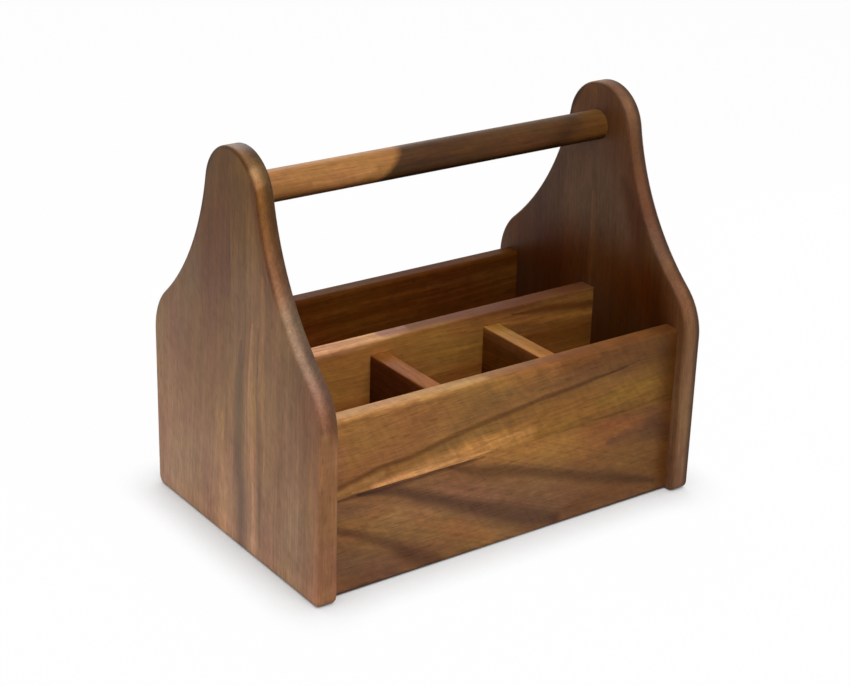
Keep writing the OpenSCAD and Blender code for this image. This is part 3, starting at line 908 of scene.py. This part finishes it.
def make_floor():
    """A pale floor that reads white to the camera and keeps a soft shadow."""
    material = bpy.data.materials.new("floor")
    g = Graph(material)
    matte = g.node("ShaderNodeBsdfDiffuse", {"Color": FLOOR_GREY})
    glow = g.node("ShaderNodeEmission", {"Color": WHITE, "Strength": 1.0})
    seen = shows_background(g.node("ShaderNodeLightPath"), g.math)
    inputs = {"Distance": CONTACT_REACH}
    openness = g.node("ShaderNodeAmbientOcclusion", inputs, samples=CONTACT_SAMPLES).outputs["AO"]
    share = g.product(seen, g.spread(openness, *CONTACT_OPEN, 0.0, FLOOR_WHITE))
    both = g.node("ShaderNodeMixShader", {0: share, 1: matte.outputs[0], 2: glow.outputs[0]})
    g.node("ShaderNodeOutputMaterial", {"Surface": both.outputs[0]})
    mesh = bpy.data.meshes.new("floor")
    half = FLOOR_SIZE / 2
    corners = [(-half, -half, 0), (half, -half, 0), (half, half, 0), (-half, half, 0)]
    mesh.from_pydata(corners, [], [(0, 1, 2, 3)])
    mesh.materials.append(material)
    floor = bpy.data.objects.new("floor", mesh)
    bpy.context.scene.collection.objects.link(floor)


def make_world():
    """White to the camera and in reflections, and a low grey level for the light on the object."""
    world = bpy.data.worlds.new("studio")
    g = Graph(world)
    ambient = g.node("ShaderNodeBackground", {"Color": WHITE, "Strength": AMBIENT})
    shown = g.node("ShaderNodeBackground", {"Color": WHITE, "Strength": 1.0})
    share = shows_background(g.node("ShaderNodeLightPath"), g.math)
    both = g.node("ShaderNodeMixShader", {0: share, 1: ambient.outputs[0], 2: shown.outputs[0]})
    g.node("ShaderNodeOutputWorld", {"Surface": both.outputs[0]})
    bpy.context.scene.world = world


def make_softbox(name, place, target, size, power):
    """A rectangular soft light that faces a point."""
    light = bpy.data.lights.new(name, "AREA")
    light.shape = "RECTANGLE"
    light.size, light.size_y = size
    light.energy = power
    obj = bpy.data.objects.new(name, light)
    obj.location = place
    obj.rotation_euler = (Vector(target) - Vector(place)).to_track_quat("-Z", "Y").to_euler()
    bpy.context.scene.collection.objects.link(obj)


MIDDLE = (0.0, 0.0, 0.08)
# Name, place, point faced, width and height, all in metres, and power in watts
SOFTBOXES = (
    ("key", (-0.08, -0.65, 0.80), MIDDLE, (0.5, 0.5), 6.9),
    ("overhead", (0.0, 0.0, 1.1), MIDDLE, (0.6, 0.6), 2.0),
    ("left_fill", (-0.75, -0.05, 0.12), (-0.14, 0.0, 0.09), (0.5, 0.2), 2.4),
    ("right_fill", (0.75, -0.05, 0.12), (0.14, 0.0, 0.09), (0.5, 0.2), 2.0),
    ("back_rim", (0.3, 0.9, 0.8), MIDDLE, (0.6, 0.6), 5.0),
)
make_floor()
make_world()
for softbox in SOFTBOXES:
    make_softbox(*softbox)

# Camera, placed as the photograph's view was worked out: degrees, millimetres and pixels
VIEW_AZIMUTH = -35.99
VIEW_ELEVATION = 23.07
VIEW_ROLL = 1.68
VIEW_DISTANCE = 1192.3
VIEW_FOCAL_PIXELS = 1920.4
VIEW_TARGET_RIGHT = -2.04
VIEW_TARGET_HEIGHT = 98.7
PICTURE_WIDTH = 850
SENSOR_WIDTH = 36.0


def make_camera():
    """The camera at the photograph's viewing angle."""
    azimuth = math.radians(VIEW_AZIMUTH)
    elevation = math.radians(VIEW_ELEVATION)
    level = math.cos(elevation)
    back = Vector((math.sin(azimuth) * level, -math.cos(azimuth) * level, math.sin(elevation)))
    right = Vector((math.cos(azimuth), math.sin(azimuth), 0))
    up = back.cross(right)
    turn = Matrix.Rotation(math.radians(VIEW_ROLL), 3, back)
    right = turn @ right
    up = turn @ up
    target = Vector((0, 0, VIEW_TARGET_HEIGHT)) + right * VIEW_TARGET_RIGHT
    data = bpy.data.cameras.new("camera")
    data.sensor_width = SENSOR_WIDTH
    data.lens = VIEW_FOCAL_PIXELS / PICTURE_WIDTH * SENSOR_WIDTH
    camera = bpy.data.objects.new("camera", data)
    facing = Matrix((right, up, back)).transposed().to_4x4()
    camera.matrix_world = Matrix.Translation((target + back * VIEW_DISTANCE) * MM) @ facing
    bpy.context.scene.collection.objects.link(camera)
    bpy.context.scene.camera = camera


make_camera()
bpy.context.scene.view_settings.view_transform = "Standard"
